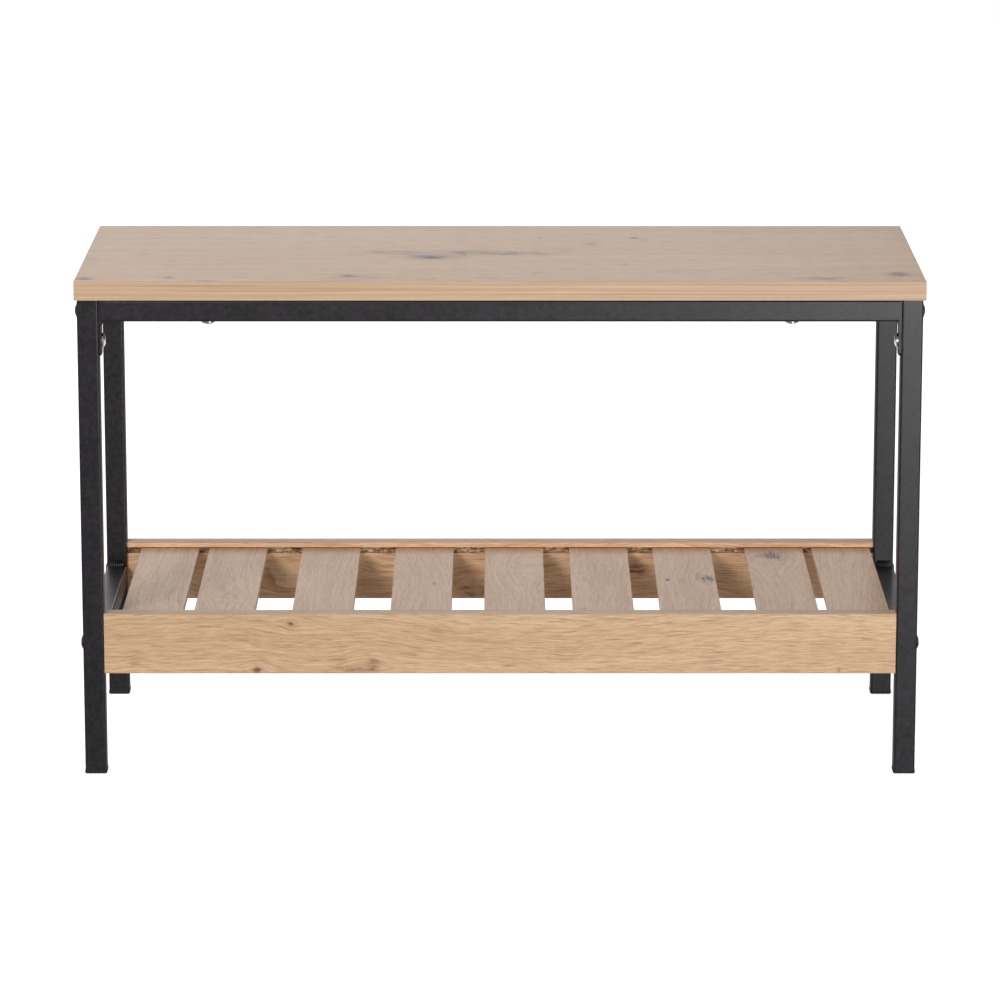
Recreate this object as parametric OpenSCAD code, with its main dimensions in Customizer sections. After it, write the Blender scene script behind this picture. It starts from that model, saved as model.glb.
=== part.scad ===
// Entryway bench: a board seat on a square-tube frame, over a slatted shoe shelf.
// X runs along the bench, -Y is the front, +Z is up. The origin is on the floor, under the middle.

/* [Bench] */
// Length of the seat, left to right
bench_w = 790; // [760:10:1000]
// Depth of the seat, front to back
bench_d = 310; // [280:5:400]
// Height of the seat's top above the floor
bench_h = 473; // [430:1:520]

/* [Seat] */
// Thickness of the seat board
seat_t = 18; // [18:1:28]
// Thickness of the edge banding on every board
band_t = 0.8; // [0.4:0.1:1.5]
// How far the seat stands past the legs at each end
seat_over_x = 2.5; // [0:0.5:10]
// How far the seat stands past the legs at front and back
seat_over_y = 0.5; // [0.5:0.5:5]

/* [Frame] */
// Outer size of the square tube
tube = 20; // [20:1:25]
// Wall of the square tube
tube_wall = 1.2; // [1:0.1:1.4]
// Outer corner radius of the square tube
tube_r = 2; // [1.8:0.1:3]
// Height of the side stretchers' undersides above the floor
stretcher_z = 113; // [100:1:130]
// Thickness of the plates on the ends of the top rails
plate_t = 2.2; // [1.5:0.1:3]
// How far the rail end plates hang below the rails
plate_drop = 32.5; // [28:0.5:45]
// Thickness of a foot cap under the leg
cap_flange = 3; // [2:0.5:5]

/* [Shelf] */
// Height of the shelf boards' undersides above the floor
shelf_z = 98; // [90:1:105]
// Height of the shelf boards
board_h = 58; // [54:1:80]
// Thickness of the shelf boards
board_t = 16; // [15:1:18]
// Wood left above the groove in a shelf board
lip_h = 5.5; // [4:0.5:8]
// Height of the groove in a shelf board
groove_h = 6; // [5.5:0.1:7]
// Depth of the groove in a shelf board
groove_d = 8; // [6:0.5:9]
// Width of one slat
slat_w = 58; // [40:1:62]
// Thickness of one slat
slat_t = 5; // [4:0.1:5]

/* [Fasteners] */
// Distance of the seat screws from the middle of the bench
seat_screw_x = 271; // [150:1:300]
// Width of every bolt head
head_d = 13; // [12:0.5:14.5]
// Height of the black bolt heads outside the legs
dome_h = 2.5; // [2:0.1:3]
// Height of the bright bolt heads inside the frame
button_h = 4; // [3:0.1:4.5]

/* [Hidden] */

// Finishes, as plain colours
black_steel = [0.16, 0.16, 0.165];
bright_steel = [0.72, 0.72, 0.74];
black_plastic = [0.07, 0.07, 0.07];
oak_top = [0.72, 0.62, 0.53];
oak_edge = [0.82, 0.70, 0.54];

// Free space beside each slat, left to right, in shares of the total
gap_share = [14.5, 10, 35, 35, 31, 26, 25, 34, 9, 3.5];
slat_count = len(gap_share) - 1;

frame_h = bench_h - seat_t;
leg_x = bench_w/2 - seat_over_x - tube/2;
leg_y = bench_d/2 - seat_over_y - tube/2;
outer_x = leg_x + tube/2;
inner_x = leg_x - tube/2;
front_y = leg_y + tube/2;
rail_mid_z = frame_h - tube/2;
rail_end_x = inner_x - plate_t;
bore_w = tube - 2*tube_wall;

// The rail bolts sit a little below the middle of the rail.
rail_bolt_drop = 1.2;
rail_bolt_z = rail_mid_z - rail_bolt_drop;

// The end plates: how far they stay inside the rail's outline, their corners and their lower hole
plate_inset = 1;
plate_r = 3;
tab_bolt_up = 13.6;
plate_w = tube - 2*plate_inset;
plate_bottom_z = frame_h - tube - plate_drop;
tab_bolt_z = plate_bottom_z + tab_bolt_up;

board_y = front_y - board_t/2;
board_inner_y = front_y - board_t;
board_mid_z = shelf_z + board_h/2;
groove_z = shelf_z + board_h - lip_h - groove_h;

// The slats: the gap under a slat, and the gap past each of its ends
slat_lift = 0.2;
slat_end_gap = 1.2;
slat_z = groove_z + slat_lift;
slat_len = 2*(board_inner_y + groove_d - slat_end_gap);
free_len = 2*inner_x - slat_count*slat_w;

// Metric 6 hardware: shanks run clear of the holes and of the nuts
shank_d = 5.9;
thread_d = 6;
hole_d = 7;
nut_af = 10;
nut_t = 5;
insert_d = 9;
insert_len = 12;
insert_fit = 0.05;
bore_spare = 1;
bolt_tip = 1;
dome_rim = 0.6;
button_rim = 1.8;
socket_af = 4;
socket_deep = 1.6;

// The foot caps: how far the flange stands past the tube, and the plug's length, gap and wall
cap_over = 0.4;
plug_len = 14;
plug_gap = 0.15;
plug_wall = 1.85;
plug_r = 0.8;
plug_w = bore_w - 2*plug_gap;

// The welds: their leg, and how far a bead stays short of the tube's sides
weld_leg = 5;
bead_inset = 3;

// Facets of a full circle, and how far a cut runs past the solid it cuts
fine = 64;
past = 1;

function sum_to(list, last) = last < 0 ? 0 : list[last] + sum_to(list, last - 1);
function share_mm(share) = share*free_len/sum_to(gap_share, slat_count);
function slat_x(i) = -inner_x + share_mm(sum_to(gap_share, i - 1)) + (i - 0.5)*slat_w;

// ---- Shared shapes ----

module rounded_square(size, r) {
    square([size, size - 2*r], center = true);
    square([size - 2*r, size], center = true);
    for (sx = [-1, 1], sy = [-1, 1])
        translate([sx*(size/2 - r), sy*(size/2 - r)])
            circle(r = r, $fn = fine);
}

module tube_section() {
    difference() {
        rounded_square(tube, tube_r);
        rounded_square(bore_w, tube_r - tube_wall);
    }
}

// A tube along X, centred on the origin
module tube_along_x(length) {
    rotate([0, 90, 0])
        linear_extrude(length, center = true)
            tube_section();
}

// A tube along Y, centred on the origin
module tube_along_y(length) {
    rotate([90, 0, 0])
        linear_extrude(length, center = true)
            tube_section();
}

// A round bar along X that starts at the origin and runs towards +X
module bar_x(d, length) {
    rotate([0, 90, 0])
        cylinder(d = d, h = length, $fn = fine);
}

// Everything on one side of the mitre between a leg top and a side rail, at one end (sy).
// The leg's waste is above the mitre (side = 1) and the rail's waste is below it (side = -1).
module mitre_waste(sy, side) {
    translate([0, sy*(leg_y - tube/2), frame_h - tube])
        rotate([sy*45, 0, 0])
            translate([0, 0, side*tube])
                cube([2*tube, 3*tube, 2*tube], center = true);
}

// A domed bolt along +Z: the head's underside is on the origin and the shank runs to -Z.
// The rim is the straight part of the head's side, under the dome.
module domed_bolt(head_h, rim_h, shank_len) {
    dome = head_h - rim_h;
    dome_r = (head_d*head_d/4 + dome*dome)/(2*dome);
    difference() {
        union() {
            intersection() {
                cylinder(d = head_d, h = head_h, $fn = fine);
                translate([0, 0, head_h - dome_r])
                    sphere(r = dome_r, $fn = 2*fine);
            }
            translate([0, 0, -shank_len])
                cylinder(d = shank_d, h = shank_len + rim_h, $fn = fine);
        }
        translate([0, 0, head_h - socket_deep])
            cylinder(d = socket_af/cos(30), h = socket_deep + 1, $fn = 6);
    }
}

// A nut or insert along +Z from the origin; six sides make it a nut, more make it round
module threaded_ring(d, length, sides) {
    difference() {
        cylinder(d = d, h = length, $fn = sides);
        translate([0, 0, -past])
            cylinder(d = thread_d, h = length + 2*past, $fn = fine);
    }
}

// The hole for a threaded insert, along +Z into a board whose face is on the origin
module insert_bore() {
    translate([0, 0, -past])
        cylinder(d = insert_d + insert_fit, h = past + insert_len + bore_spare, $fn = fine);
}

// Turns +Z to the outward X direction of one side of the bench
module facing_out(sx) {
    rotate([0, sx*90, 0])
        children();
}

// Repeats its children at the four legs, mirrored so that they are drawn for the right rear leg
module at_four_corners() {
    for (sx = [0, 1], sy = [0, 1])
        mirror([sx, 0, 0])
            mirror([0, sy, 0])
                children();
}

// ---- Seat ----

module seat_board() {
    color(oak_top)
        difference() {
            translate([0, 0, frame_h + seat_t/2])
                cube([bench_w - 2*band_t, bench_d - 2*band_t, seat_t], center = true);
            for (x = [-seat_screw_x, seat_screw_x], y = [-leg_y, leg_y])
                translate([x, y, frame_h])
                    insert_bore();
        }
}

module seat_edge_long(sy) {
    color(oak_edge)
        translate([-bench_w/2, sy*(bench_d - band_t)/2 - band_t/2, frame_h])
            cube([bench_w, band_t, seat_t]);
}

module seat_edge_short(sx) {
    color(oak_edge)
        translate([sx*(bench_w - band_t)/2 - band_t/2, -bench_d/2 + band_t, frame_h])
            cube([band_t, bench_d - 2*band_t, seat_t]);
}

// ---- Frame ----

module leg(sx, sy) {
    color(black_steel)
        difference() {
            translate([sx*leg_x, sy*leg_y, cap_flange])
                linear_extrude(frame_h - cap_flange)
                    tube_section();
            translate([sx*leg_x, 0, 0])
                mitre_waste(sy, 1);
            translate([sx*leg_x - tube, sy*leg_y, rail_bolt_z])
                bar_x(hole_d, 2*tube);
            translate([sx*inner_x - tube/2, sy*leg_y, tab_bolt_z])
                bar_x(hole_d, tube);
            translate([sx*leg_x - tube, sy*board_y, board_mid_z])
                bar_x(hole_d, 2*tube);
        }
}

// A push-in plastic foot: a flange under the tube and a hollow plug inside it
module foot_cap(sx, sy) {
    color(black_plastic)
        translate([sx*leg_x, sy*leg_y, 0])
            difference() {
                union() {
                    linear_extrude(cap_flange)
                        rounded_square(tube + 2*cap_over, tube_r + cap_over);
                    linear_extrude(cap_flange + plug_len)
                        rounded_square(plug_w, plug_r);
                }
                translate([0, 0, cap_flange])
                    linear_extrude(plug_len + past)
                        rounded_square(plug_w - 2*plug_wall, plug_r);
            }
}

module side_rail(sx) {
    color(black_steel)
        difference() {
            translate([sx*leg_x, 0, rail_mid_z])
                tube_along_y(2*front_y);
            for (sy = [-1, 1]) {
                translate([sx*leg_x, 0, 0])
                    mitre_waste(sy, -1);
                translate([sx*leg_x - tube, sy*leg_y, rail_bolt_z])
                    bar_x(hole_d, 2*tube);
            }
        }
}

module side_stretcher(sx) {
    color(black_steel)
        translate([sx*leg_x, 0, stretcher_z + tube/2])
            tube_along_y(2*(leg_y - tube/2));
}

module top_rail(sy) {
    color(black_steel)
        difference() {
            translate([0, sy*leg_y, rail_mid_z])
                tube_along_x(2*rail_end_x);
            for (x = [-seat_screw_x, seat_screw_x])
                translate([x, sy*leg_y, rail_mid_z - tube])
                    cylinder(d = hole_d, h = 2*tube, $fn = fine);
        }
}

// The steel tab on a top rail's end, with two holes and rounded lower corners
module end_plate(sx, sy) {
    plate_h = frame_h - plate_inset - plate_bottom_z;
    color(black_steel)
        difference() {
            translate([sx*(inner_x - plate_t/2), sy*leg_y, plate_bottom_z])
                rotate([90, 0, 90])
                    linear_extrude(plate_t, center = true) {
                        translate([-plate_w/2, plate_r])
                            square([plate_w, plate_h - plate_r]);
                        translate([-plate_w/2 + plate_r, 0])
                            square([plate_w - 2*plate_r, plate_r]);
                        for (y = [-plate_w/2 + plate_r, plate_w/2 - plate_r])
                            translate([y, plate_r])
                                circle(r = plate_r, $fn = fine);
                    }
            for (z = [tab_bolt_z, rail_bolt_z])
                translate([sx*inner_x - tube/2, sy*leg_y, z])
                    bar_x(hole_d, tube);
        }
}

// ---- Welds ----

// A quarter-round bead along X at every stretcher end, above and below the stretcher
module stretcher_welds() {
    bead_len = tube - 2*bead_inset;
    color(black_steel)
        at_four_corners()
            for (z = [stretcher_z, stretcher_z + tube]) {
                up = z > stretcher_z ? 1 : -1;
                translate([leg_x - bead_len/2, leg_y - tube/2, z])
                    intersection() {
                        bar_x(2*weld_leg, bead_len);
                        translate([0, -weld_leg, up > 0 ? 0 : -weld_leg])
                            cube([bead_len, weld_leg, weld_leg]);
                    }
            }
}

// A hollow-faced fillet under each rail end, where the rail meets its plate
module end_plate_welds() {
    bead_len = plate_w - 2*plate_inset;
    hollow = 1.6*weld_leg;
    hollow_r = sqrt(hollow*hollow + (hollow - weld_leg)*(hollow - weld_leg));
    color(black_steel)
        at_four_corners()
            translate([rail_end_x, leg_y, frame_h - tube])
                rotate([90, 0, 0])
                    linear_extrude(bead_len, center = true)
                        difference() {
                            polygon([[0, 0], [-weld_leg, 0], [0, -weld_leg]]);
                            translate([-hollow, -hollow])
                                circle(r = hollow_r, $fn = fine);
                        }
}

// ---- Shelf ----

// Drawn for the rear, and mirrored for the front, so that the groove always faces inwards
module shelf_board(sy) {
    color(oak_edge)
        mirror([0, sy < 0 ? 1 : 0, 0])
            difference() {
                translate([0, board_y, board_mid_z])
                    cube([2*inner_x, board_t, board_h - 2*band_t], center = true);
                translate([-inner_x - past, board_inner_y - past, groove_z])
                    cube([2*inner_x + 2*past, groove_d + past, groove_h]);
                for (sx = [-1, 1])
                    translate([sx*inner_x, board_y, board_mid_z])
                        facing_out(-sx)
                            insert_bore();
            }
}

// The banding strips on a shelf board's top and bottom edges
module shelf_edges(sy) {
    color(oak_edge)
        for (z = [shelf_z + band_t/2, shelf_z + board_h - band_t/2])
            translate([0, sy*board_y, z])
                cube([2*inner_x, board_t, band_t], center = true);
}

module slat(i) {
    color(oak_top)
        translate([slat_x(i), 0, slat_z + slat_t/2])
            cube([slat_w, slat_len, slat_t], center = true);
}

// ---- Fasteners ----

module rail_bolts() {
    color(black_steel)
        at_four_corners()
            translate([outer_x, leg_y, rail_bolt_z])
                facing_out(1)
                    domed_bolt(dome_h, dome_rim, tube + plate_t + nut_t + bolt_tip);
}

module rail_end_nuts() {
    color(bright_steel)
        at_four_corners()
            translate([rail_end_x, leg_y, rail_bolt_z])
                facing_out(-1)
                    threaded_ring(nut_af/cos(30), nut_t, 6);
}

module tab_bolts() {
    color(bright_steel)
        at_four_corners()
            translate([rail_end_x, leg_y, tab_bolt_z])
                facing_out(-1)
                    domed_bolt(button_h, button_rim, plate_t + tube_wall + nut_t + bolt_tip);
}

module leg_nuts() {
    color(bright_steel)
        at_four_corners()
            translate([inner_x + tube_wall, leg_y, tab_bolt_z])
                facing_out(1)
                    threaded_ring(nut_af/cos(30), nut_t, 6);
}

module shelf_bolts() {
    color(black_steel)
        at_four_corners()
            translate([outer_x, board_y, board_mid_z])
                facing_out(1)
                    domed_bolt(dome_h, dome_rim, tube + insert_len);
}

module shelf_inserts() {
    color(bright_steel)
        at_four_corners()
            translate([inner_x, board_y, board_mid_z])
                facing_out(-1)
                    threaded_ring(insert_d, insert_len, fine);
}

module seat_screws() {
    color(bright_steel)
        for (x = [-seat_screw_x, seat_screw_x], y = [-leg_y, leg_y])
            translate([x, y, frame_h - tube])
                rotate([180, 0, 0])
                    domed_bolt(button_h, button_rim, tube + insert_len - bolt_tip);
}

module seat_inserts() {
    color(bright_steel)
        for (x = [-seat_screw_x, seat_screw_x], y = [-leg_y, leg_y])
            translate([x, y, frame_h])
                threaded_ring(insert_d, insert_len, fine);
}

seat_board();
seat_edge_long(-1);  // seat_edge_front
seat_edge_long(1);  // seat_edge_rear
seat_edge_short(-1);  // seat_edge_left
seat_edge_short(1);  // seat_edge_right
leg(-1, -1);  // leg_front_left
leg(1, -1);  // leg_front_right
leg(-1, 1);  // leg_rear_left
leg(1, 1);  // leg_rear_right
foot_cap(-1, -1);  // foot_cap_front_left
foot_cap(1, -1);  // foot_cap_front_right
foot_cap(-1, 1);  // foot_cap_rear_left
foot_cap(1, 1);  // foot_cap_rear_right
side_rail(-1);  // side_rail_left
side_rail(1);  // side_rail_right
side_stretcher(-1);  // side_stretcher_left
side_stretcher(1);  // side_stretcher_right
top_rail(-1);  // top_rail_front
top_rail(1);  // top_rail_rear
end_plate(-1, -1);  // end_plate_front_left
end_plate(1, -1);  // end_plate_front_right
end_plate(-1, 1);  // end_plate_rear_left
end_plate(1, 1);  // end_plate_rear_right
stretcher_welds();
end_plate_welds();
shelf_board(-1);  // shelf_board_front
shelf_board(1);  // shelf_board_rear
shelf_edges(-1);  // shelf_edges_front
shelf_edges(1);  // shelf_edges_rear
rail_bolts();
rail_end_nuts();
tab_bolts();
leg_nuts();
shelf_bolts();
shelf_inserts();
seat_screws();
seat_inserts();
for (i = [1 : slat_count]) {
    slat(i);
}
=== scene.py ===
# %% [markdown]
# # An entryway bench
#
# The bench is a board seat on a black frame of square tube, over a shoe shelf of nine loose slats.
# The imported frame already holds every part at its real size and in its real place, so this script
# never has to fit anything. It gives the parts their finish, and it remodels the ones whose shape
# shows something that a plain solid leaves out: rounded banding, a raw groove, slats with eased
# edges, domed bolts with sockets, rippled welds and moulded foot caps.

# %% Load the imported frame
import math

import bmesh
import bpy
from mathutils import Matrix, Vector


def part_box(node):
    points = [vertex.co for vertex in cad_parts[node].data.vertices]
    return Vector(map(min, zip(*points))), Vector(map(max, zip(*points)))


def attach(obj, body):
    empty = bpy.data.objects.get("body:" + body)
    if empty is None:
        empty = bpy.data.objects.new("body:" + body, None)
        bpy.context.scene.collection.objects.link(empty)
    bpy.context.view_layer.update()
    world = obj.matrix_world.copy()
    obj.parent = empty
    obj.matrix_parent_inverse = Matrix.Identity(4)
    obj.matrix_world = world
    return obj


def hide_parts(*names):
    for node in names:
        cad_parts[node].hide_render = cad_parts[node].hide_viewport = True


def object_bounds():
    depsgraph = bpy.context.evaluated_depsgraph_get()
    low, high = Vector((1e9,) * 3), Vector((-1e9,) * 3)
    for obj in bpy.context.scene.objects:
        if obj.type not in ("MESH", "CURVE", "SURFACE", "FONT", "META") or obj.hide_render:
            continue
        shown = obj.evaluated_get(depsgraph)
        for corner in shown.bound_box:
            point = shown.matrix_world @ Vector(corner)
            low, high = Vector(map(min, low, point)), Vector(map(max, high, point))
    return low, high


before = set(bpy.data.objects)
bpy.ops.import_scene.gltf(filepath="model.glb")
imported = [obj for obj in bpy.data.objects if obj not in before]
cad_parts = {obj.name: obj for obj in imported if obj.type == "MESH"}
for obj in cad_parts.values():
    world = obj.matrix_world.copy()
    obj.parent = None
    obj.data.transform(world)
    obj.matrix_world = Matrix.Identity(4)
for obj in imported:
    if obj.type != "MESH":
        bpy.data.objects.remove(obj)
cad_low, cad_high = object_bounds()
mm = 0.001
bench_size = cad_high - cad_low
print("bench, mm:", [round(side / mm, 1) for side in bench_size])

# %% [markdown]
# ## The camera
#
# A long lens from about four and a half metres keeps the legs almost parallel, as a furniture
# catalogue shows them. A short lens close by would splay them. The camera stands opposite the
# middle of the bench and looks down at it by about thirteen degrees, so the seat's top and the
# slats both show.

# %% Camera
camera_back = 4.595
camera_height = 1.277
camera_pitch = math.radians(12.83)
camera_lens = 175.4
camera_sensor = 36

camera_data = bpy.data.cameras.new("camera")
camera_data.sensor_width = camera_sensor
camera_data.lens = camera_lens
camera_data.clip_end = 100
camera = bpy.data.objects.new("camera", camera_data)
camera.location = (0, -camera_back, camera_height)
camera.rotation_euler = (math.pi / 2 - camera_pitch, 0, 0)
bpy.context.scene.collection.objects.link(camera)
bpy.context.scene.camera = camera
print("lens, mm:", camera_lens, "pitch, degrees:", round(math.degrees(camera_pitch), 1))

# %% [markdown]
# ## Floor and light
#
# Most of the light comes from one softbox in front, left of the camera and a little above it. Light
# at so low a slant reaches under the seat, so the slats are nearly as bright as the seat's top. A
# lamp overhead would leave them in shade. A wide panel behind the bench is what the seat's satin
# top reflects, a low one in front brightens the steel towards the right, and one at each side keeps
# the ends from going dark.
#
# A softbox is set by how bright its face looks, from which its watts follow. Its size can then
# change without changing how it looks in a reflection.

# %% Floor and light
def softbox(name, place, target, width, height, brightness):
    """A rectangular lamp whose face looks as bright as the given multiple of white paper."""
    data = bpy.data.lights.new(name, "AREA")
    data.shape = "RECTANGLE"
    data.size = width
    data.size_y = height
    data.energy = brightness * math.pi * width * height
    lamp = bpy.data.objects.new(name, data)
    lamp.location = place
    direction = Vector(target) - lamp.location
    lamp.rotation_euler = direction.to_track_quat("-Z", "Y").to_euler()
    lamp.visible_camera = False
    bpy.context.scene.collection.objects.link(lamp)
    return lamp


room_light = 0.28

world = bpy.data.worlds.new("studio")
world.use_nodes = True
world.node_tree.nodes["Background"].inputs["Color"].default_value = (1, 1, 1, 1)
world.node_tree.nodes["Background"].inputs["Strength"].default_value = room_light
bpy.context.scene.world = world
bpy.context.scene.view_settings.view_transform = "Standard"

bench_middle = (0, 0, 0.25)
right_of_middle = (0.3, 0, 0.25)
softbox("front_left", (-2.0, -3.2, 2.1), bench_middle, width=1.6, height=1.2, brightness=13.5)
softbox("low_right", (1.05, -2.5, 0.4), right_of_middle, width=1.1, height=0.55, brightness=13)
softbox("behind", (-1.4, 4.0, 1.8), bench_middle, width=5.0, height=1.9, brightness=1.39)
softbox("side_left", (-3.6, 0.4, 1.3), bench_middle, width=3.0, height=2.2, brightness=1.0)
softbox("side_right", (3.6, 0.4, 1.3), bench_middle, width=3.0, height=2.2, brightness=1.0)

# %% [markdown]
# The floor is a white sheet that is lit from below, as a table for packshots is. Its glow takes
# most of the shadow away. Left to itself, so bright a floor would light the bench from underneath
# and turn the shaded side of the shelf pale, so the bench's own surfaces are told not to see it.

# %% The floor
floor_glow = 0.74
floor_reach = 30

floor_mesh = bpy.data.meshes.new("floor")
sheet = bmesh.new()
bmesh.ops.create_grid(sheet, x_segments=1, y_segments=1, size=floor_reach)
sheet.to_mesh(floor_mesh)
sheet.free()
floor = bpy.data.objects.new("floor", floor_mesh)
bpy.context.scene.collection.objects.link(floor)
floor.visible_diffuse = False
floor.visible_glossy = False
white_sheet = bpy.data.materials.new("white_sheet")
white_sheet.use_nodes = True
sheet_shader = white_sheet.node_tree.nodes["Principled BSDF"]
sheet_shader.inputs["Base Color"].default_value = (0.9, 0.9, 0.9, 1)
sheet_shader.inputs["Roughness"].default_value = 0.9
sheet_shader.inputs["Specular IOR Level"].default_value = 0.1
sheet_shader.inputs["Emission Color"].default_value = (1, 1, 1, 1)
sheet_shader.inputs["Emission Strength"].default_value = floor_glow
floor_mesh.materials.append(white_sheet)
print("floor glow:", floor_glow)

# %% [markdown]
# ## Shader sums as plain sums
#
# A procedural finish is a sum of a few patterns. Wiring it by hand takes a line for every node and
# hides the sum, so one small class wraps a socket and turns Python's own operators into Math
# nodes. Every other kind of node comes from one method, which sets the node up and then plugs
# values or other sockets into it.

# %% Sockets and finishes
class Wire:
    """An output socket that can be added, multiplied and so on like a number."""

    def __init__(self, finish, socket):
        self.finish = finish
        self.socket = socket

    def sum_with(self, operation, first, second):
        return self.finish.node("Math", {"operation": operation}, {0: first, 1: second})

    def __add__(self, other):
        return self.sum_with("ADD", self, other)

    def __radd__(self, other):
        return self.sum_with("ADD", other, self)

    def __sub__(self, other):
        return self.sum_with("SUBTRACT", self, other)

    def __rsub__(self, other):
        return self.sum_with("SUBTRACT", other, self)

    def __mul__(self, other):
        return self.sum_with("MULTIPLY", self, other)

    def __rmul__(self, other):
        return self.sum_with("MULTIPLY", other, self)


class Finish:
    """A material, with short ways to build its nodes."""

    def __init__(self, name):
        self.material = bpy.data.materials.new(name)
        self.material.use_nodes = True
        self.tree = self.material.node_tree
        self.shader = self.tree.nodes["Principled BSDF"]

    def plug(self, target, value):
        if isinstance(value, Wire):
            self.tree.links.new(value.socket, target)
        else:
            target.default_value = value

    def node(self, kind, settings=None, sockets=None, output=0):
        made = self.tree.nodes.new("ShaderNode" + kind)
        for key, value in (settings or {}).items():
            setattr(made, key, value)
        for key, value in (sockets or {}).items():
            self.plug(made.inputs[key], value)
        return Wire(self, made.outputs[output])

    def surface(self, **values):
        """Set the shader's own sockets; Base_Color stands for Base Color."""
        for key, value in values.items():
            self.plug(self.shader.inputs[key.replace("_", " ")], value)

    def place(self):
        """The point's x, y and z on the piece, in metres."""
        spot = self.node("TexCoord", output="Object")
        return [self.node("SeparateXYZ", sockets={0: spot}, output=axis) for axis in range(3)]

    def vector(self, x, y, z):
        return self.node("CombineXYZ", sockets={0: x, 1: y, 2: z})

    def noise(self, vector, detail=2.0, rough=0.5, scale=1.0):
        settings = {"noise_dimensions": "3D"}
        sockets = {"Vector": vector, "Scale": scale, "Detail": detail, "Roughness": rough}
        return self.node("TexNoise", settings, sockets)

    def step(self, value, low, high):
        """Nought below low, one above high, and a smooth rise between them."""
        settings = {"interpolation_type": "SMOOTHSTEP"}
        return self.node("MapRange", settings, {"Value": value, "From Min": low, "From Max": high})

    def blend(self, amount, first, second):
        settings = {"data_type": "RGBA"}
        return self.node("Mix", settings, {0: amount, 6: first, 7: second}, output=2)

    def bump(self, height, distance, strength):
        sockets = {"Height": height, "Distance": distance, "Strength": strength}
        self.surface(Normal=self.node("Bump", sockets=sockets))


def paint(red, green, blue):
    """A screen colour from 0 to 255 as the linear colour that a shader works in."""
    def linear(level):
        level = level / 255
        return level / 12.92 if level <= 0.04045 else ((level + 0.055) / 1.055) ** 2.4
    return (linear(red), linear(green), linear(blue), 1.0)


print("finish builder ready")

# %% [markdown]
# ## Oak decor
#
# The boards are particle board with a printed oak decor. An image of a plank would be the easy
# way, but then every board would show the same knots, and the print would end at its border. Here
# the print is worked out from the place on the piece, so it has no border and runs over each edge.
#
# All of it hangs on one number, the field. It is the distance across the grain, bent by a slow
# noise, roughened by a quick one, and pushed aside by each knot. Bands, lines, fibres and pores are
# noises that are stretched along the grain and read the field instead of the plain distance, so
# they all bend together.

# %% Knots and decors
class Knot:
    """A knot in the decor: its place and size in millimetres, how dark it is, how it bends lines."""

    def __init__(self, along, across, length, width, dark, bend=0.0):
        self.along = along * mm
        self.across = across * mm
        self.length = length * mm / 2
        self.width = width * mm / 2
        self.dark = dark
        self.bend = bend


class Decor:
    """The colours of one oak decor, how its grain wanders, and what its grain is made of.

    The grain wanders by so many millimetres. Waves, lines, fibres and pores are given by how many
    fit in a metre, along the grain and across it.
    """

    def __init__(self, pale, deep, pore, knot, wander, wave, lines, fibres, contrast,
                 pores=(40, 700), parts=(0.25, 0.3, 0.45), pore_share=0.4):
        self.pale = pale
        self.deep = deep
        self.pore = pore
        self.knot = knot
        self.wander = wander * mm
        self.wave = wave
        self.lines = lines
        self.fibres = fibres
        self.pores = pores
        self.parts = parts
        self.contrast = contrast
        self.pore_share = pore_share


print("decor kit ready")

# %% [markdown]
# A knot is drawn from one number too: how far a point lies from its middle, counted in knot radii
# and squared. The core is dark up to its rim, with faint rings, and a halo fades out round it. A
# streaky noise moves the rim in and out, since a clean ellipse looks like a sticker. The lines of
# the grain are pushed aside over a wider reach, because the tree grew round the knot.

# %% Knots in the field
knot_streaks = (55, 260)
knot_raggedness = 4.6
core_edge = 0.9
core_soft = 1.7
core_dark = 0.66
ring_pitch = 8
ring_dark = 0.12
halo_fall = -0.5
halo_dark = 0.36
bend_fall = -0.16


def knot_marks(finish, u, v, field, knots, start):
    """Bend the field round the knots, and return it with a mask of the knots themselves."""
    marks = None
    streak_long, streak_cross = knot_streaks
    streaky = finish.vector(u * streak_long + start, v * streak_cross, start)
    ragged = (finish.noise(streaky, detail=4, rough=0.7) - 0.5) * knot_raggedness
    for knot in knots:
        from_u = u - knot.along
        from_v = v - knot.across
        far_u = from_u * (1 / knot.length)
        far_v = from_v * (1 / knot.width)
        far = far_u * far_u + far_v * far_v
        core = finish.step(core_edge + ragged - far, 0.0, core_soft)
        rings = finish.node("Math", {"operation": "SINE"}, {0: far * ring_pitch + ragged * 2})
        halo = finish.node("Math", {"operation": "EXPONENT"}, {0: far * halo_fall})
        mark = (core * (core_dark + rings * ring_dark) + halo * halo_dark) * knot.dark
        if knot.bend:
            wide = finish.node("Math", {"operation": "EXPONENT"}, {0: far * bend_fall})
            field = field - from_v * wide * knot.bend
        marks = mark if marks is None else marks + mark * (1 - marks)
    return field, marks


print("knot rim moves by up to", knot_raggedness / 2, "squared radii")

# %% [markdown]
# The print itself is made in three steps: the field, the grain that reads it, and the colours. The
# tone slides between the deep and the pale colour with the grain. Pores and knots are laid over it.
# Roughness and bump come from the same noises, so a pore is dark, dull and sunk all at once.

# %% The oak print
quick_pitch = (38, 90, 40)
quick_share = 0.1
band_pitch = (1.8, 42, 12)
slow_depth = 4
line_depth = 80
fibre_depth = 300
pore_depth = 150
tone_spread = 0.16
pore_edge = (0.59, 0.68)
stain_edge = (0.04, 0.55)
knot_edge = (0.3, 0.9)
print_relief = 0.12 * mm


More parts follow.
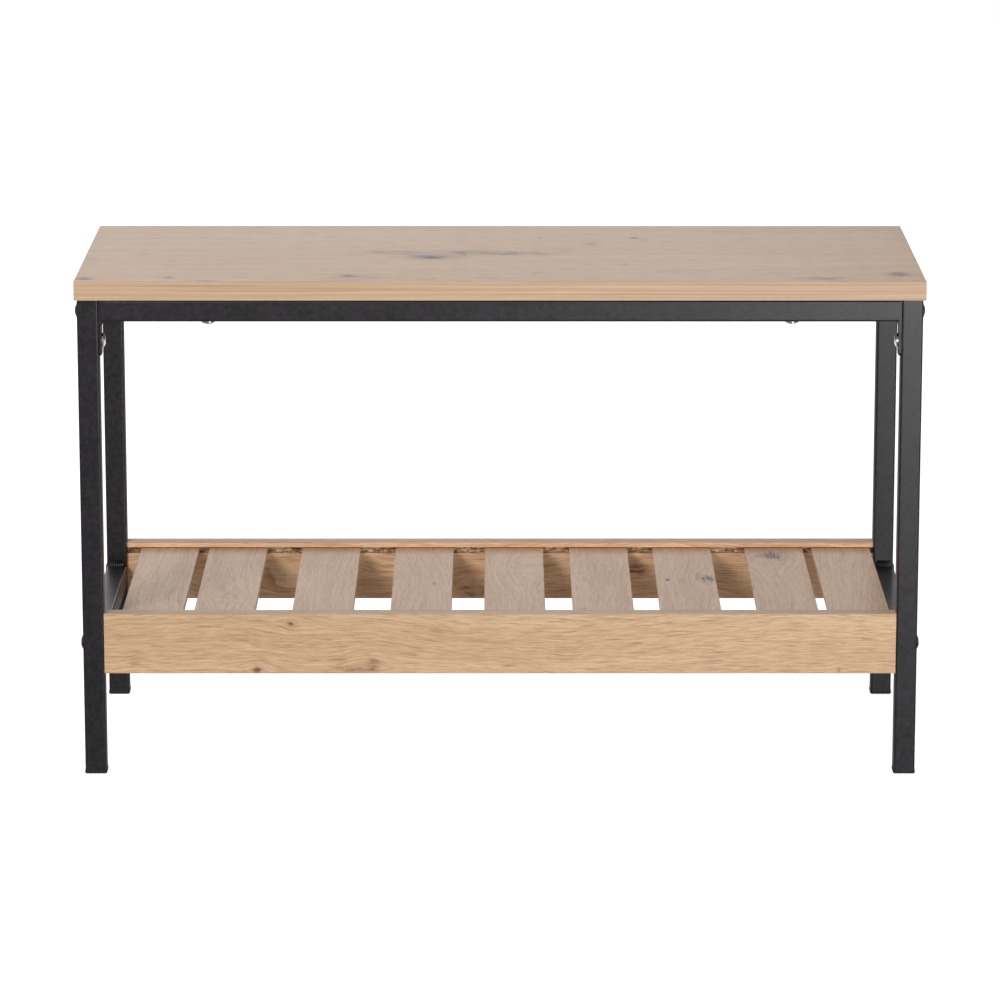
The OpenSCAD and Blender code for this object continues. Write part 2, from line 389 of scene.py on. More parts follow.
def oak(name, decor, along, across, knots=(), start=0.0, gloss=0.42):
    """An oak print with its grain along one axis and its face across another (0, 1 or 2)."""
    finish = Finish(name)
    spot = finish.place()
    u = spot[along]
    v = spot[across]
    w = spot[3 - along - across]
    long_wave, cross_wave = decor.wave
    slow = finish.noise(finish.vector(u * long_wave + start, v * cross_wave + start,
                                      w * slow_depth))
    quick_long, quick_cross, quick_depth = quick_pitch
    quick = finish.noise(finish.vector(u * quick_long + start, v * quick_cross, w * quick_depth))
    bent = (slow - 0.5) * (2 * decor.wander)
    field = v + bent + (quick - 0.5) * (quick_share * decor.wander)
    if knots:
        field, marks = knot_marks(finish, u, v, field, knots, start)

    band_long, band_cross, band_depth = band_pitch
    line_long, line_cross = decor.lines
    fibre_long, fibre_cross = decor.fibres
    pore_long, pore_cross = decor.pores
    bands = finish.noise(finish.vector(u * band_long + start, field * band_cross, w * band_depth))
    lines = finish.noise(finish.vector(u * line_long + start, field * line_cross, w * line_depth),
                         rough=0.6)
    fibres = finish.noise(finish.vector(u * fibre_long, field * fibre_cross + start,
                                        w * fibre_depth), rough=0.65)
    pores = finish.noise(finish.vector(u * pore_long + start, field * pore_cross, w * pore_depth),
                         detail=1)

    band_part, line_part, fibre_part = decor.parts
    grain = bands * band_part + lines * line_part + fibres * fibre_part
    tone = finish.step((grain - 0.5) * decor.contrast, -tone_spread, tone_spread)
    open_pores = finish.step(pores, *pore_edge)
    colour = finish.blend(tone, decor.deep, decor.pale)
    colour = finish.blend(open_pores * decor.pore_share, colour, decor.pore)
    if knots:
        colour = finish.blend(finish.step(marks, *stain_edge) * 0.6, colour, decor.pore)
        colour = finish.blend(finish.step(marks, *knot_edge), colour, decor.knot)

    rough = gloss + (0.5 - grain) * 0.2 + open_pores * 0.1
    relief = lines * 0.4 + fibres * 0.3 - open_pores * 0.8
    finish.surface(Base_Color=colour, Roughness=rough)
    finish.bump(relief, print_relief, strength=0.35)
    return finish.material


print("print relief, mm:", round(print_relief / mm, 2))

# %% [markdown]
# The bench has several decors. The seat's is calm and fine, and the front board's is wild. The rear
# board's is the same oak painted paler and warmer, which is painted light: its inner face lies in
# the shelf's shade, and the brighter print stands in for light that does not reach it there. The
# slats' is greyer, and the banding has straight thin lines.

# %% The decors
seat_print = Decor(paint(220, 186, 154), paint(207, 170, 139), paint(158, 128, 106),
                   paint(70, 60, 55), wander=7, wave=(2.0, 7.0), lines=(5, 190), fibres=(40, 620),
                   contrast=1.15, pore_share=0.3)
board_print = Decor(paint(227, 192, 153), paint(196, 158, 121), paint(148, 110, 80),
                    paint(60, 42, 34), wander=30, wave=(3.2, 5.0), lines=(8, 330),
                    fibres=(60, 1150), pores=(42, 820), parts=(0.2, 0.25, 0.55), contrast=1.15,
                    pore_share=0.5)
# Painted light: the rear board's print is paler and warmer than the front board's, to brighten its
# inner face in the shade of the shelf.
brightened_rear_print = Decor(paint(250, 208, 164), paint(212, 162, 120), paint(156, 106, 72),
                          paint(52, 34, 26), wander=34, wave=(4.0, 8.0), lines=(9, 330),
                          fibres=(50, 900), contrast=1.25)
slat_print = Decor(paint(217, 183, 152), paint(195, 159, 129), paint(158, 128, 106),
                   paint(58, 50, 50), wander=22, wave=(4.0, 7.0), lines=(8, 300), fibres=(50, 900),
                   parts=(0.25, 0.35, 0.4), contrast=1.1, pore_share=0.2)
edge_print = Decor(paint(214, 182, 151), paint(196, 161, 129), paint(156, 118, 90),
                   paint(110, 84, 66), wander=0.5, wave=(1.0, 8.0), lines=(1.5, 1000),
                   fibres=(14, 1700), pores=(2.5, 900), parts=(0.1, 0.5, 0.4), contrast=1.2,
                   pore_share=0.55)
print("seat grain wanders by, mm:", round(seat_print.wander / mm, 1))

# %% [markdown]
# The seat's knots are set one by one, in millimetres along and across the seat: a long cluster left
# of the middle, a few near the front edge and at the corners, and some pin knots. A random spread
# would be shorter to write, but knots in a real plank come in clusters.

# %% The seat's knots
seat_knots = [
    Knot(-66, -24, 52, 34, 0.95, 0.5),
    Knot(-100, 2, 96, 34, 0.5, 0.3),
    Knot(-28, 2, 60, 34, 0.48, 0.2),
    Knot(18, -4, 92, 32, 0.62, 0.4),
    Knot(373, -116, 28, 30, 1.0, 0.5),
    Knot(300, -137, 74, 26, 0.6, 0.3),
    Knot(-386, -141, 26, 24, 0.8, 0.3),
    Knot(-308, -135, 16, 18, 0.75, 0.3),
    Knot(-276, -152, 36, 14, 0.7),
    Knot(-142, -126, 24, 22, 0.85, 0.3),
    Knot(-118, -130, 56, 20, 0.4),
    Knot(130, 83, 13, 13, 0.9),
    Knot(88, 49, 26, 30, 0.45),
    Knot(-12, -134, 66, 26, 0.3),
    Knot(-339, -6, 20, 22, 0.35),
    Knot(267, 138, 24, 16, 0.3),
    Knot(118, -63, 6, 8, 0.7),
    Knot(38, 85, 6, 8, 0.7),
    Knot(35, -109, 8, 10, 0.5),
]
seat_oak = oak("seat_oak", seat_print, 0, 1, seat_knots, start=3.0)
print("seat knots:", len(seat_knots))

# %% [markdown]
# ## Raw particle board
#
# The grooves and the slats' ends cut through the print, and show the pressed chips. Cells of a
# Voronoi pattern make the chips: each cell has its own brown, and the cells are longest along the
# board and thinnest upwards, because chips lie flat. A noise alone looks like dirt, because it has
# no edges.

# %% Raw particle board
chips_along = 260
chips_across = 480
chips_up = 560
wobble_pitch = 300
chip_relief = 0.8 * mm


def particle_board(name):
    finish = Finish(name)
    x, y, z = finish.place()
    wobble = finish.noise(finish.vector(x * wobble_pitch, y * wobble_pitch, z * wobble_pitch))
    chips = finish.vector(x * chips_along + wobble, y * chips_across + wobble,
                          z * chips_up + wobble)
    flakes = {"feature": "F1", "voronoi_dimensions": "3D"}
    cell = finish.node("TexVoronoi", flakes, {"Vector": chips, "Scale": 1.0}, output="Color")
    depth = finish.node("TexVoronoi", flakes, {"Vector": chips, "Scale": 1.0}, output="Distance")
    shade = finish.node("SeparateColor", sockets={0: cell}, output=0)
    colour = finish.blend(shade, paint(176, 130, 92), paint(252, 222, 184))
    dark_gaps = finish.step(depth, 0.5, 0.85)
    colour = finish.blend(dark_gaps * 0.65, colour, paint(88, 58, 40))
    finish.surface(Base_Color=colour, Roughness=0.85 - shade * 0.15)
    finish.bump(shade * 0.6 - dark_gaps, chip_relief, strength=0.9)
    return finish.material


raw_board = particle_board("raw_board")
print("chips, mm:", [round(1 / (pitch * mm), 1) for pitch in (chips_along, chips_across, chips_up)])

# %% [markdown]
# ## Steel, plastic and bolts
#
# Powder coat is baked powder, so close up it has the skin of an orange: a fine bump about a
# millimetre across. Its black is faintly clouded, and its gloss drifts slowly along the tube, which
# breaks up the reflection.
# The bolts get their own finishes: black lacquer outside, bright nickel inside, and dull zinc for
# the nuts, all with the fine stains of a plating bath. Foot caps are moulded plastic, eroded matt.

# %% Steel, plastic and bolts
orange_peel = 700
gloss_drift = 9
coat_clouds = 210
plating_marks = 2600
plating_stains = 220
spark_erosion = 3200


def powder_coat(name):
    finish = Finish(name)
    spot = finish.vector(*finish.place())
    skin = finish.noise(spot, scale=orange_peel, detail=3)
    drift = finish.noise(spot, scale=gloss_drift)
    clouds = finish.noise(spot, scale=coat_clouds, detail=4, rough=0.7)
    colour = finish.blend(finish.step(clouds, 0.3, 0.7), paint(7, 5, 8), paint(30, 24, 30))
    rough = 0.2 + drift * 0.1 + clouds * 0.2
    finish.surface(Base_Color=colour, Roughness=rough, Specular_IOR_Level=0.66)
    finish.bump(skin, 0.1 * mm, strength=0.7)
    return finish.material


def plated(name, colour, rough, metallic):
    finish = Finish(name)
    spot = finish.vector(*finish.place())
    marks = finish.noise(spot, scale=plating_marks)
    stains = finish.noise(spot, scale=plating_stains)
    dull = (colour[0] * 0.72, colour[1] * 0.72, colour[2] * 0.74, 1.0)
    finish.surface(Base_Color=finish.blend(stains, colour, dull), Roughness=rough + marks * 0.12,
                   Metallic=metallic)
    finish.bump(marks, 0.02 * mm, strength=0.3)
    return finish.material


def moulded_plastic(name):
    finish = Finish(name)
    x, y, z = finish.place()
    erosion = finish.noise(finish.vector(x, y, z), scale=spark_erosion)
    scuffs = finish.noise(finish.vector(x * 90, y * 90, z * 700), detail=3)
    colour = finish.blend(finish.step(scuffs, 0.55, 0.8), paint(24, 24, 25), paint(52, 52, 53))
    finish.surface(Base_Color=colour, Roughness=0.55 + erosion * 0.2)
    finish.bump(erosion, 0.04 * mm, strength=0.6)
    return finish.material


black_coat = powder_coat("black_coat")
black_lacquer = plated("black_lacquer", paint(22, 22, 23), rough=0.14, metallic=0.0)
bright_nickel = plated("bright_nickel", paint(212, 211, 210), rough=0.17, metallic=1.0)
dull_zinc = plated("dull_zinc", paint(176, 178, 182), rough=0.34, metallic=1.0)
foot_plastic = moulded_plastic("foot_plastic")
print("finishes so far:", len(bpy.data.materials))

# %% [markdown]
# ## From a bmesh to a finished piece
#
# Every new piece ends in the same way: it becomes an object at the origin, takes its materials, is
# shaded smooth with true flat faces, and hangs from the empty of the body it rides on, while the
# parts of the frame that it stands for are hidden. The weighted normals keep a wide face flat right
# up to its rounded edge. Plain smooth shading would spread the rounding's normals over the whole
# face.

# %% Helpers for pieces
hair = 0.01 * mm
nearly_all = 0.999


def box_mesh(low, high):
    """A bmesh block that fills the box between two corners."""
    block = bmesh.new()
    size = high - low
    place = Matrix.Translation((low + high) / 2) @ Matrix.Diagonal((*size, 1))
    bmesh.ops.create_cube(block, size=1, matrix=place)
    return block


def round_over(block, edges, radius, segments=3):
    """Round the given edges, leaving their faces' materials alone."""
    bmesh.ops.bevel(block, geom=edges, offset=radius, affect="EDGES", segments=segments,
                    profile=0.5, material=-1)


def edges_along(block, axis):
    """The edges that run along one axis (0, 1 or 2)."""
    found = []
    for edge in block.edges:
        way = edge.verts[1].co - edge.verts[0].co
        if abs(way[axis]) > nearly_all * way.length:
            found.append(edge)
    return found


def piece_from(block, name, body, nodes, finishes, sharp=40):
    """Turn a bmesh into a piece that rides on a body and stands for the named nodes."""
    bmesh.ops.recalc_face_normals(block, faces=block.faces)
    mesh = bpy.data.meshes.new(name)
    block.to_mesh(mesh)
    block.free()
    for finish in finishes:
        mesh.materials.append(finish)
    mesh.polygons.foreach_set("use_smooth", [True] * len(mesh.polygons))
    mesh.set_sharp_from_angle(angle=math.radians(sharp))
    piece = bpy.data.objects.new(name, mesh)
    bpy.context.scene.collection.objects.link(piece)
    weights = piece.modifiers.new("flat_faces", "WEIGHTED_NORMAL")
    weights.keep_sharp = True
    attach(piece, body)
    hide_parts(*nodes)
    return piece


def finish_nodes(nodes, finish):
    """Give nodes of the frame that keep their shape a better finish."""
    for node in nodes:
        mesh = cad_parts[node].data
        for slot in range(len(mesh.materials)):
            mesh.materials[slot] = finish


corners = [f"{end}_{side}" for end in ("front", "rear") for side in ("left", "right")]
print("corners:", corners)

# %% [markdown]
# ## The seat
#
# The seat board keeps its shape from the frame and only takes the oak print. Its edge banding is a
# thin strip glued on afterwards, trimmed flush and scraped round at its outer edges. That small
# round catches a line of light along the seat, so the four strips are remodelled with it. The print
# on a strip is a different one, with straight lines along the strip.

# %% The seat and its banding
band_round = 0.5 * mm
front_edge_oak = oak("front_edge_oak", edge_print, 0, 2, start=11.0, gloss=0.5)
side_edge_oak = oak("side_edge_oak", edge_print, 1, 2, start=17.0, gloss=0.5)

finish_nodes(["seat_board"], seat_oak)


def band(node, outward_axis, grain):
    """One strip of banding, rounded where its outer face meets its narrow faces."""
    low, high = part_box(node)
    strip = box_mesh(low, high)
    side = 1 if (low + high)[outward_axis] > 0 else -1
    outer = (high if side > 0 else low)[outward_axis]
    rim = [edge for edge in strip.edges
           if all(abs(vert.co[outward_axis] - outer) < hair for vert in edge.verts)]
    round_over(strip, rim, band_round)
    return piece_from(strip, node + "_band", "bench_frame", [node], [grain])


bands = [
    band("seat_edge_front", 1, front_edge_oak),
    band("seat_edge_rear", 1, front_edge_oak),
    band("seat_edge_left", 0, side_edge_oak),
    band("seat_edge_right", 0, side_edge_oak),
]
print("bands:", [piece.name for piece in bands])

# %% [markdown]
# ## The shelf boards
#
# Each shelf board has a groove along its inner face, which holds the slats' ends. The board is an
# extrusion of one outline, so eight corners are drawn in the board's cross-section and the face
# between them is pulled along the bench. The two corners at the groove's mouth are then worn round,
# because a saw chips the print there. The groove's own faces take the raw board.

# %% The shelf boards
slat_play = 0.2 * mm
groove_height = 6 * mm
groove_depth = 8 * mm
slat_low, slat_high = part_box("slat_5")
groove_bottom = slat_low.z - slat_play
groove_top = groove_bottom + groove_height
mouth_round = 0.35 * mm

front_board_oak = oak("front_board_oak", board_print, 0, 2, [
    Knot(-197, 146, 8, 7, 0.7, 0.8),
    Knot(-230, 101, 24, 10, 0.3, 0.5),
    Knot(-229, 101, 10, 8, 0.55, 0.6),
    Knot(319, 102, 6, 8, 0.6, 0.5),
    Knot(-119, 107, 20, 18, 0.52, 0.6),
    Knot(-141, 103, 46, 14, 0.46, 0.3),
], start=23.0)
# The rear board takes the brightened print, which is painted light for the shelf's shaded inside.
brightened_rear_oak = oak("brightened_rear_oak", brightened_rear_print, 0, 2, [
    Knot(-30, 107, 30, 18, 0.6, 0.9),
    Knot(136, 129, 36, 18, 0.65, 0.8),
    Knot(-222, 122, 60, 24, 0.35, 0.9),
], start=31.0)


def shelf_board(node, side, grain):
    """A grooved board; side is -1 for the front board and 1 for the rear one."""
    low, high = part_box(node)
    inner = min(abs(low.y), abs(high.y)) * side
    outer = max(abs(low.y), abs(high.y)) * side
    bottom = inner + groove_depth * side
    outline = [(outer, low.z), (inner, low.z), (inner, groove_bottom), (bottom, groove_bottom),
               (bottom, groove_top), (inner, groove_top), (inner, high.z), (outer, high.z)]
    board = bmesh.new()
    outline_verts = [board.verts.new((low.x, y, z)) for y, z in outline]
    end = board.faces.new(outline_verts)
    pulled = bmesh.ops.extrude_face_region(board, geom=[end])
    moved = [part for part in pulled["geom"] if isinstance(part, bmesh.types.BMVert)]
    bmesh.ops.translate(board, vec=(high.x - low.x, 0, 0), verts=moved)
    board.normal_update()
    for face in board.faces:
        spot = face.calc_center_median()
        inside = groove_bottom - hair < spot.z < groove_top + hair
        if inside and abs(spot.y) < abs(bottom) + hair and abs(face.normal.x) < 0.5:
            face.material_index = 1
    mouth = [edge for edge in edges_along(board, 0)
             if abs(edge.verts[0].co.y - inner) < hair
             and groove_bottom - hair < edge.verts[0].co.z < groove_top + hair]
    round_over(board, mouth, mouth_round, segments=2)
    return piece_from(board, node + "_grooved", "bench_frame", [node],
                      [grain, raw_board])


boards = [
    shelf_board("shelf_board_front", -1, front_board_oak),
    shelf_board("shelf_board_rear", 1, brightened_rear_oak),
]
print("boards:", [board.name for board in boards])

# %% [markdown]
# ## Banding on the shelf boards
#
# The boards' top and bottom edges are banded too. One node holds both strips of a board, so both go
# into one piece. Here both long corners show, and both are rounded.

# %% Banding on the shelf boards
band_thick = 0.8 * mm
shelf_edge_print = Decor(paint(204, 172, 144), paint(178, 144, 118), paint(158, 124, 100),
                         paint(110, 84, 66), wander=0.4, wave=(1.0, 8.0), lines=(3, 500),
                         fibres=(20, 1000), contrast=1.1, pore_share=0.2)
shelf_edge_oak = oak("shelf_edge_oak", shelf_edge_print, 0, 1, start=41.0)


def board_bands(node):
    low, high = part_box(node)
    strips = bmesh.new()
    for bottom, outer in ((low.z, low.z), (high.z - band_thick, high.z)):
        near = Vector((low.x, low.y, bottom))
        far = Vector((high.x, high.y, bottom + band_thick))
        strip = box_mesh(near, far)
        rim = [edge for edge in edges_along(strip, 0)
               if abs(edge.verts[0].co.z - outer) < hair]
        round_over(strip, rim, band_round)
        strip_mesh = bpy.data.meshes.new("strip")
        strip.to_mesh(strip_mesh)
        strip.free()
        strips.from_mesh(strip_mesh)
        bpy.data.meshes.remove(strip_mesh)
    return piece_from(strips, node + "_bands", "bench_frame", [node],
                      [shelf_edge_oak])


bands += [board_bands("shelf_edges_front"), board_bands("shelf_edges_rear")]
print("bands in all:", len(bands))

# %% [markdown]
# ## The slats
#
# The slats are cut from wider decorated board with the grain along them, so no two look alike. One
# function makes all nine, and each has its own stretch of the print and its own knots. A slat is a
# thin block with its long edges eased, which is what lets it slide without catching. Its ends are
# sawn, and stay raw. Every slat rides on its own body.

# %% The slats
slat_knots = {
    1: [Knot(30, -309, 14, 3, 0.5)],
    2: [Knot(-57, -262, 34, 20, 0.45, 0.9)],
    3: [Knot(98, -151, 20, 3, 0.5)],
    4: [Knot(-10, -64, 12, 5, 0.6, 0.5)],
    5: [Knot(73, 35, 90, 26, 0.15, 1.0)],
    6: [Knot(-109, 80, 14, 6, 0.8, 0.4)],
    7: [Knot(11, 202, 42, 18, 1.0, 0.9), Knot(6, 163, 14, 6, 0.8)],
    8: [Knot(105, 270, 48, 32, 1.0, 0.8)],
    9: [Knot(-115, 381, 90, 30, 0.1, 1.0)],
}
slat_round = 0.7 * mm
first_start = 50.0
start_step = 7.3


def slat(number):
    node = f"slat_{number}"
    low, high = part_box(node)
    block = box_mesh(low, high)
    for face in block.faces:
        if abs(face.normal.y) > 0.9:
            face.material_index = 1
    round_over(block, edges_along(block, 1), slat_round)
    grain = oak(f"slat_oak_{number}", slat_print, 1, 0, slat_knots[number],
                start=first_start + start_step * number)
    return piece_from(block, f"{node}_board", f"shelf_{node}", [node],
                      [grain, raw_board])


slats = [slat(number) for number in slat_knots]
print("slats:", len(slats), "width, mm:", round((slat_high.x - slat_low.x) / mm, 1))

# %% [markdown]
# ## The bolts
#
# All the bolts are domed furniture bolts with a hexagon socket. The frame's dome is right in
# size, but its socket is a bare prism. Here a bolt starts as the half outline of its head and
# shank, spun once round the axis. The outline stops at the socket's mouth, so the spin leaves a
# round hole. A hexagon with as many points as the hole has is then bridged to it, which gives the
# socket its chamfered lead-in. A second hexagon, deeper in the head, is bridged to the first and
# closed.

# %% One bolt
turns = 36
dome_steps = 8
socket_across = 4 * mm
socket_mouth = 2.6 * mm
socket_lead = 0.35 * mm
socket_depth = 1.7 * mm
shank_radius = 2.95 * mm
rim_bevel = 0.15 * mm
tip_bevel = 0.4 * mm
dome_low, dome_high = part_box("rail_bolts")
head_radius = (dome_high.z - dome_low.z) / 2
dome_head = (2.5 * mm, 0.6 * mm)
button_head = (4 * mm, 1.8 * mm)


def hexagon_point(angle):
    """The point of the socket's hexagon in one direction from its middle."""
    sixth = math.pi / 3
    across = (angle + sixth / 2) % sixth - sixth / 2
    reach = socket_across / 2 / math.cos(across)
    return Vector((reach * math.cos(angle), reach * math.sin(angle), 0))


def bolt_mesh(head, shank_length):
    """A bolt along +Z, its head's underside on the origin; head is (height, height of the rim)."""
    head_height, rim_height = head
    dome = head_height - rim_height
    dome_radius = (head_radius ** 2 + dome ** 2) / (2 * dome)
    centre = head_height - dome_radius
    low_angle = math.asin(socket_mouth / dome_radius)
    high_angle = math.asin(head_radius / dome_radius)
    outline = []
    for step in range(dome_steps + 1):
        angle = low_angle + (high_angle - low_angle) * step / dome_steps
        outline.append((dome_radius * math.sin(angle), centre + dome_radius * math.cos(angle)))
    outline.append((head_radius, rim_bevel))
    outline.append((head_radius - rim_bevel, 0))
    outline.append((shank_radius, 0))
    outline.append((shank_radius, tip_bevel - shank_length))
    outline.append((shank_radius - tip_bevel, -shank_length))
    bolt = bmesh.new()
    verts = [bolt.verts.new((radius, 0, z)) for radius, z in outline]
    edges = [bolt.edges.new(pair) for pair in zip(verts, verts[1:])]
    bmesh.ops.spin(bolt, geom=verts + edges, axis=(0, 0, 1), cent=(0, 0, 0), steps=turns,
                   angle=math.tau, use_merge=True)
    bmesh.ops.remove_doubles(bolt, verts=bolt.verts, dist=hair / 10)
    bolt.edges.ensure_lookup_table()
    open_edges = [edge for edge in bolt.edges if edge.is_boundary]
    mouth = [edge for edge in open_edges if edge.verts[0].co.z > 0]
    tip = [edge for edge in open_edges if edge.verts[0].co.z < 0]
    bmesh.ops.edgeloop_fill(bolt, edges=tip)
    mouth_z = mouth[0].verts[0].co.z
    rings = []
    for z in (mouth_z - socket_lead, mouth_z - socket_depth):
        ring = []
        for turn in range(turns):
            point = hexagon_point(math.tau * turn / turns)
            ring.append(bolt.verts.new((point.x, point.y, z)))
        rings.append([bolt.edges.new((ring[turn - 1], ring[turn])) for turn in range(turns)])
    bmesh.ops.bridge_loops(bolt, edges=mouth + rings[0])
    bmesh.ops.bridge_loops(bolt, edges=rings[0] + rings[1])
    bmesh.ops.edgeloop_fill(bolt, edges=rings[1])
    return bolt


print("bolt head, mm:", round(2 * head_radius / mm, 1), "across")

# %% [markdown]
# The frame holds each kind of bolt as one node of four, so one piece has to stand for all four. The
# bolt is modelled once, and its copies are turned and moved inside a single bmesh. Where they go
# follows from the legs, the boards and the end plates.

# %% Groups of bolts
def bolts(node, finish, head, shank_length, places):
    """A group of bolts in one piece; each place is a point and the way its head faces."""
    group = bmesh.new()
    single = bpy.data.meshes.new("bolt")
    source = bolt_mesh(head, shank_length)
    bmesh.ops.recalc_face_normals(source, faces=source.faces)
    source.to_mesh(single)
    source.free()
    for point, facing in places:
        turned = Vector(facing).to_track_quat("Z", "Y").to_matrix().to_4x4()
        before = len(group.verts)
        group.from_mesh(single)
        group.verts.ensure_lookup_table()
        fresh = group.verts[before:]
        bmesh.ops.transform(group, matrix=Matrix.Translation(point) @ turned, verts=fresh)
    bpy.data.meshes.remove(single)
    return piece_from(group, node + "_turned", "bench_frame", [node], [finish], sharp=35)


def group_middle(node):
    """The height of the middle of a group of bolts that all lie level."""
    low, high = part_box(node)
    return (low.z + high.z) / 2


def four_places(x, y, z, outward):
    """The four corners of the bench, with heads facing out of the bench or into it."""
    return [(Vector((side_x * x, side_y * y, z)), (side_x * outward, 0, 0))
            for side_x in (-1, 1) for side_y in (-1, 1)]


leg_low, leg_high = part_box("leg_rear_right")
board_low, board_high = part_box("shelf_board_rear")
leg_y = (leg_low.y + leg_high.y) / 2
board_y = (board_low.y + board_high.y) / 2
plate_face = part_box("end_plate_rear_right")[0].x
rail_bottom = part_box("top_rail_rear")[0].z
screw_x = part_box("seat_screws")[1].x - head_radius
tube = leg_high.x - leg_low.x
rail_bolt_length = tube + 8.2 * mm
shelf_bolt_length = tube + 12 * mm
tab_bolt_length = 9.4 * mm
seat_screw_length = tube + 11 * mm
print("bolts, mm:", [round(length / mm, 1) for length in
                     (rail_bolt_length, shelf_bolt_length, tab_bolt_length, seat_screw_length)])

# %% [markdown]
# Outside are the black domes: four go through the legs into the rails, and four into the shelf
# boards. Inside are the bright button heads: four go through the end plates into the legs, and four
# up through the rails into the seat.

# %% The four groups
outer_bolts = [
    bolts("rail_bolts", black_lacquer, dome_head, rail_bolt_length,
          four_places(leg_high.x, leg_y, group_middle("rail_bolts"), 1)),
    bolts("shelf_bolts", black_lacquer, dome_head, shelf_bolt_length,
          four_places(leg_high.x, board_y, group_middle("shelf_bolts"), 1)),
]
inner_bolts = [
    bolts("tab_bolts", bright_nickel, button_head, tab_bolt_length,
          four_places(plate_face, leg_y, group_middle("tab_bolts"), -1)),
    bolts("seat_screws", bright_nickel, button_head, seat_screw_length,
          [(Vector((side_x * screw_x, side_y * leg_y, rail_bottom)), (0, 0, -1))
           for side_x in (-1, 1) for side_y in (-1, 1)]),
]
print("faces in a group of bolts:", len(outer_bolts[0].data.polygons))

# %% [markdown]
# The bolts are the only parts shiny enough to mirror the white floor behind the bench, which the
# bench has been told not to see. A flat panel on the floor stands in for it, and lights nothing but
# the bolts. Without it their heads look like dark rubber.

# %% The floor as the bolts see it
panel_y = 1.3
floor_panel = softbox("floor_behind", (0, panel_y, 0.01), (0, panel_y, 1),
                      width=3.0, height=2.2, brightness=1.1)
shiny = bpy.data.collections.new("shiny")
for group in outer_bolts + inner_bolts:
    shiny.objects.link(group)
floor_panel.light_linking.receiver_collection = shiny

# %% [markdown]
# ## The foot caps
#
# A foot cap is one moulding: a flange that the leg stands on, and a hollow plug that is pushed into
# the tube. Starting from the flange block, the top face is inset and pulled up for the plug, then
# inset again and pushed back down for the hollow. One face is enough for both, so the cap stays one
# closed shell. The flange's corners follow the tube's, and its lower edge is rounded to slide.

# %% The foot caps
cap_flange = 3 * mm
cap_corner = 2.4 * mm
cap_round = 0.7 * mm
cap_floor = 1 * mm
plug_gap = 1.75 * mm
plug_wall = 1.85 * mm
plug_height = 14 * mm


def foot_cap(node):
    low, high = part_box(node)
    cap = box_mesh(low, Vector((high.x, high.y, low.z + cap_flange)))
    round_over(cap, edges_along(cap, 2), cap_corner, segments=5)
    top = max(cap.faces, key=lambda face: face.calc_center_median().z)
    for inset, rise in ((plug_gap, plug_height), (plug_wall, cap_floor - plug_height)):
        bmesh.ops.inset_region(cap, faces=[top], thickness=inset, use_even_offset=True)
        lifted = bmesh.ops.extrude_discrete_faces(cap, faces=[top])["faces"]
        top = lifted[0]
        bmesh.ops.translate(cap, vec=(0, 0, rise), verts=top.verts)
    rims = [edge for edge in cap.edges
            if all(vert.co.z < low.z + hair for vert in edge.verts)]
    round_over(cap, rims, cap_round)
    return piece_from(cap, node + "_moulded", "bench_frame", [node],
                      [foot_plastic])


caps = [foot_cap(f"foot_cap_{corner}") for corner in corners]
print("cap faces:", len(caps[0].data.polygons))

# %% [markdown]
# ## The welds
#
# A weld bead is a row of overlapping puddles. Each bead between a stretcher and a leg starts as a
# disc, of which two cuts leave a quarter. That quarter is pulled along the seam, cut into short
# lengths, and its round side is then pushed in between the crests of a wave, which has one crest
# for each puddle. A slow drift makes the puddles differ a little, which keeps the bead from looking
# like a screw thread.

# %% The welds
bead_radius = 5 * mm
bead_length = 14 * mm
puddles = 7
cuts_per_puddle = 6
ripple = 0.45 * mm
puddle_lean = 0.25
drift_share = 0.6
end_height = 0.45
end_sink = 2.2 * mm
still_core = 0.2 * bead_radius


def quarter_bead(seed):
    """A rippled quarter-round bead along Z, in the quarter where X is negative and Y positive."""
    bead = bmesh.new()
    bmesh.ops.create_circle(bead, cap_ends=True, radius=bead_radius, segments=48)
    for normal in ((1, 0, 0), (0, -1, 0)):
        bmesh.ops.bisect_plane(bead, geom=bead.verts[:] + bead.edges[:] + bead.faces[:],
                               plane_co=(0, 0, 0), plane_no=normal, clear_outer=True)
    base = bead.faces[:]
    pulled = bmesh.ops.extrude_face_region(bead, geom=base)
    moved = [part for part in pulled["geom"] if isinstance(part, bmesh.types.BMVert)]
    bmesh.ops.translate(bead, vec=(0, 0, bead_length), verts=moved)
    bmesh.ops.subdivide_edges(bead, edges=edges_along(bead, 2), cuts=puddles * cuts_per_puddle,
                              use_grid_fill=True)
    for vert in bead.verts:
        reach = math.hypot(vert.co.x, vert.co.y)
        if reach < still_core:
            continue
        along = vert.co.z / bead_length
        end_fall = min(1.0, 5 * min(along, 1 - along) + end_height)
        lean = puddle_lean * math.atan2(vert.co.y, -vert.co.x)
        wave = math.sin(math.tau * (puddles * along + lean) + seed)
        drift = 0.5 * math.sin(5.1 * along + 2.3 * seed)
        free = min(1.0, 6 * min(-vert.co.x, vert.co.y) / bead_radius)
        if free > 0:
            push = (ripple * (wave - 1.0 + drift * drift_share) - (1 - end_fall) * end_sink) * free
            scale = (reach + push) / reach
            vert.co.x *= scale
            vert.co.y *= scale
    return bead


print("ripple, mm:", round(ripple / mm, 2))

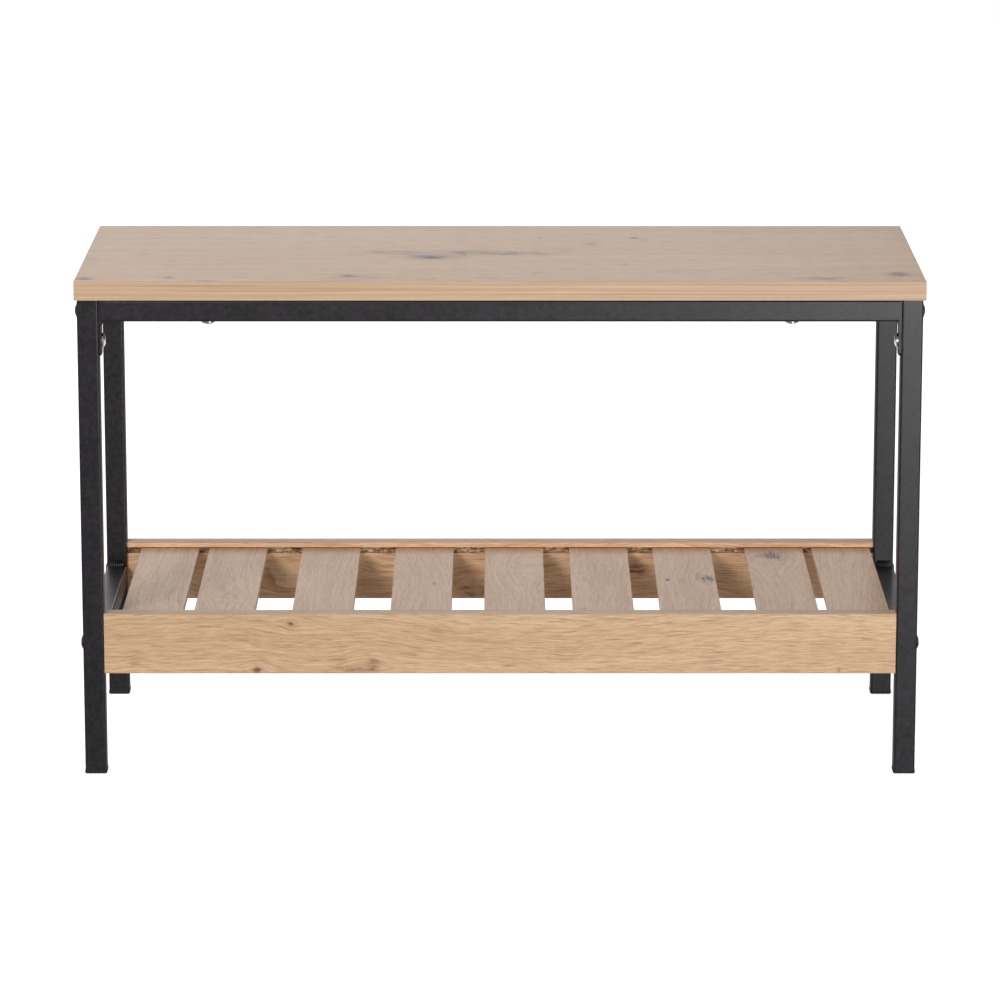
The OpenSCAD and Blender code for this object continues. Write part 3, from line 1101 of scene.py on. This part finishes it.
# %% [markdown]
# Each stretcher is welded to the front and the rear leg, above and below, which makes eight beads.
# A bead is made upright at the origin, laid along the bench, and flipped into its corner. A flip
# turns a shape inside out, so every bead has its normals worked out again.

# %% Eight beads in one piece
def stretcher_beads(node):
    low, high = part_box(node)
    stretcher_low, stretcher_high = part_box("side_stretcher_right")
    middle_x = (stretcher_low.x + stretcher_high.x) / 2
    seam_y = stretcher_high.y
    group = bmesh.new()
    seed = 0
    for side_x in (-1, 1):
        for side_y in (-1, 1):
            for z, up in ((stretcher_low.z, -1), (stretcher_high.z, 1)):
                bead = quarter_bead(seed)
                seed += 1
                laid = Matrix(((0, 0, 1, 0), (1, 0, 0, 0), (0, 1, 0, 0), (0, 0, 0, 1)))
                flip = Matrix.Diagonal((1, side_y, up, 1))
                start = Vector((side_x * middle_x - bead_length / 2, side_y * seam_y, z))
                bmesh.ops.transform(bead, matrix=Matrix.Translation(start) @ flip @ laid,
                                    verts=bead.verts)
                bmesh.ops.recalc_face_normals(bead, faces=bead.faces)
                single = bpy.data.meshes.new("bead")
                bead.to_mesh(single)
                bead.free()
                group.from_mesh(single)
                bpy.data.meshes.remove(single)
    print("beads reach, mm:", round((high.z - low.z) / mm, 1))
    return piece_from(group, node + "_rippled", "bench_frame", [node],
                      [black_coat], sharp=60)


beads = stretcher_beads("stretcher_welds")
print("bead faces:", len(beads.data.polygons))

# %% [markdown]
# ## The steel that keeps its shape
#
# Legs, rails and stretchers come from the frame as true tubes with rounded corners and real holes,
# and the end plates as drilled sheet, so only their finish is new. The nuts and inserts sit inside
# and only take dull zinc.

# %% The steel that keeps its shape
legs = [f"leg_{corner}" for corner in corners]
plates = [f"end_plate_{corner}" for corner in corners]
rails = ["side_rail_left", "side_rail_right", "side_stretcher_left", "side_stretcher_right",
         "top_rail_front", "top_rail_rear"]
finish_nodes(legs + plates + rails + ["end_plate_welds"], black_coat)
finish_nodes(["rail_end_nuts", "leg_nuts", "shelf_inserts", "seat_inserts"], dull_zinc)
print("coated steel nodes:", len(legs + plates + rails) + 1)
